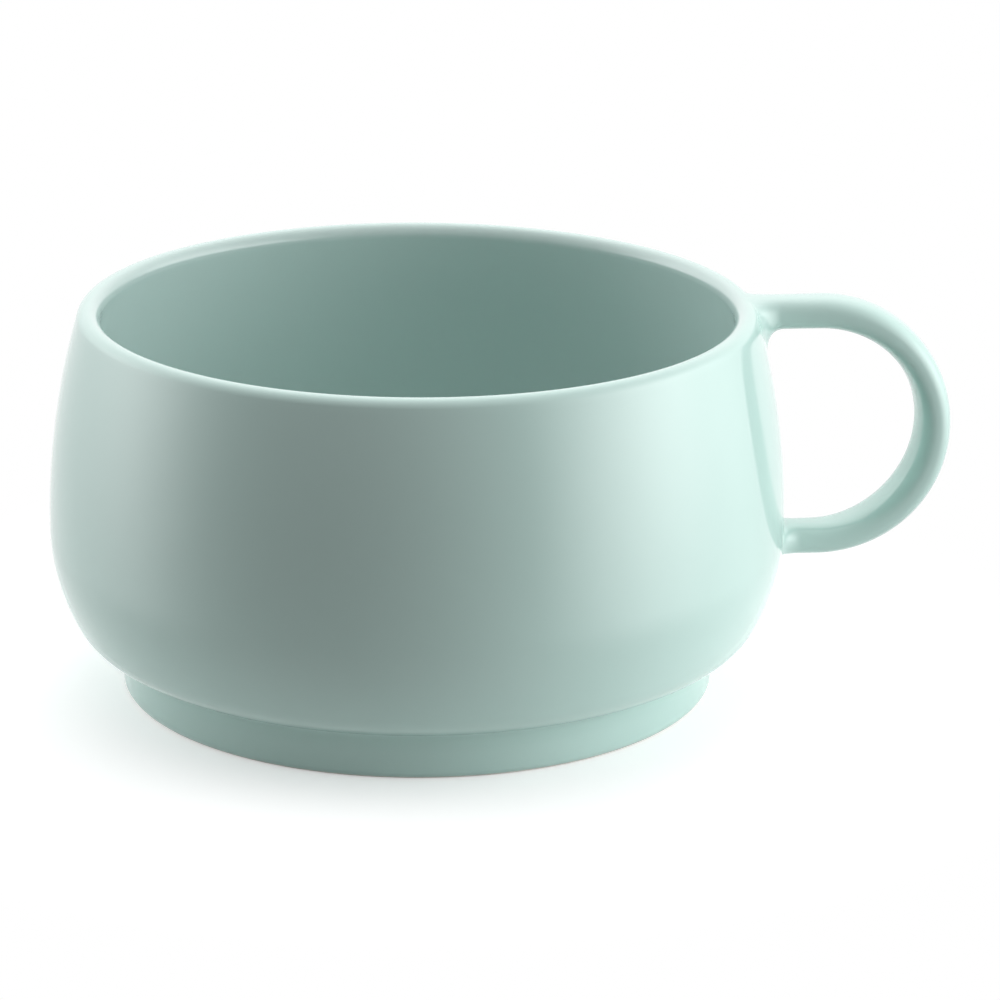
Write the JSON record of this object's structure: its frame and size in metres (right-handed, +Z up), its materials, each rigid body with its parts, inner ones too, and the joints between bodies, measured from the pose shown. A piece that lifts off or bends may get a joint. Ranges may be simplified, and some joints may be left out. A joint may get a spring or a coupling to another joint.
{
  "type": "soup mug",
  "caption": "Low, wide glazed porcelain soup mug with a swelling belly, round lip, narrower foot ring and a loop handle level with the rim.",
  "frame": {"origin": "centre of the foot ring, on the surface that the mug stands on", "axes": "+Z up along the bowl's axis, +X from the axis towards the handle, +Y to the left of the handle as seen from above with the handle to the right"},
  "size_m": [0.1479, 0.12, 0.0632],
  "materials": {
    "bowl_glaze": "gloss",
    "foot_glaze": "gloss",
    "handle_glaze": "gloss"
  },
  "bodies": {
    "root": {"bowl": "bowl_glaze", "foot_ring": "foot_glaze", "handle": "handle_glaze"}
  },
  "joints": []
}
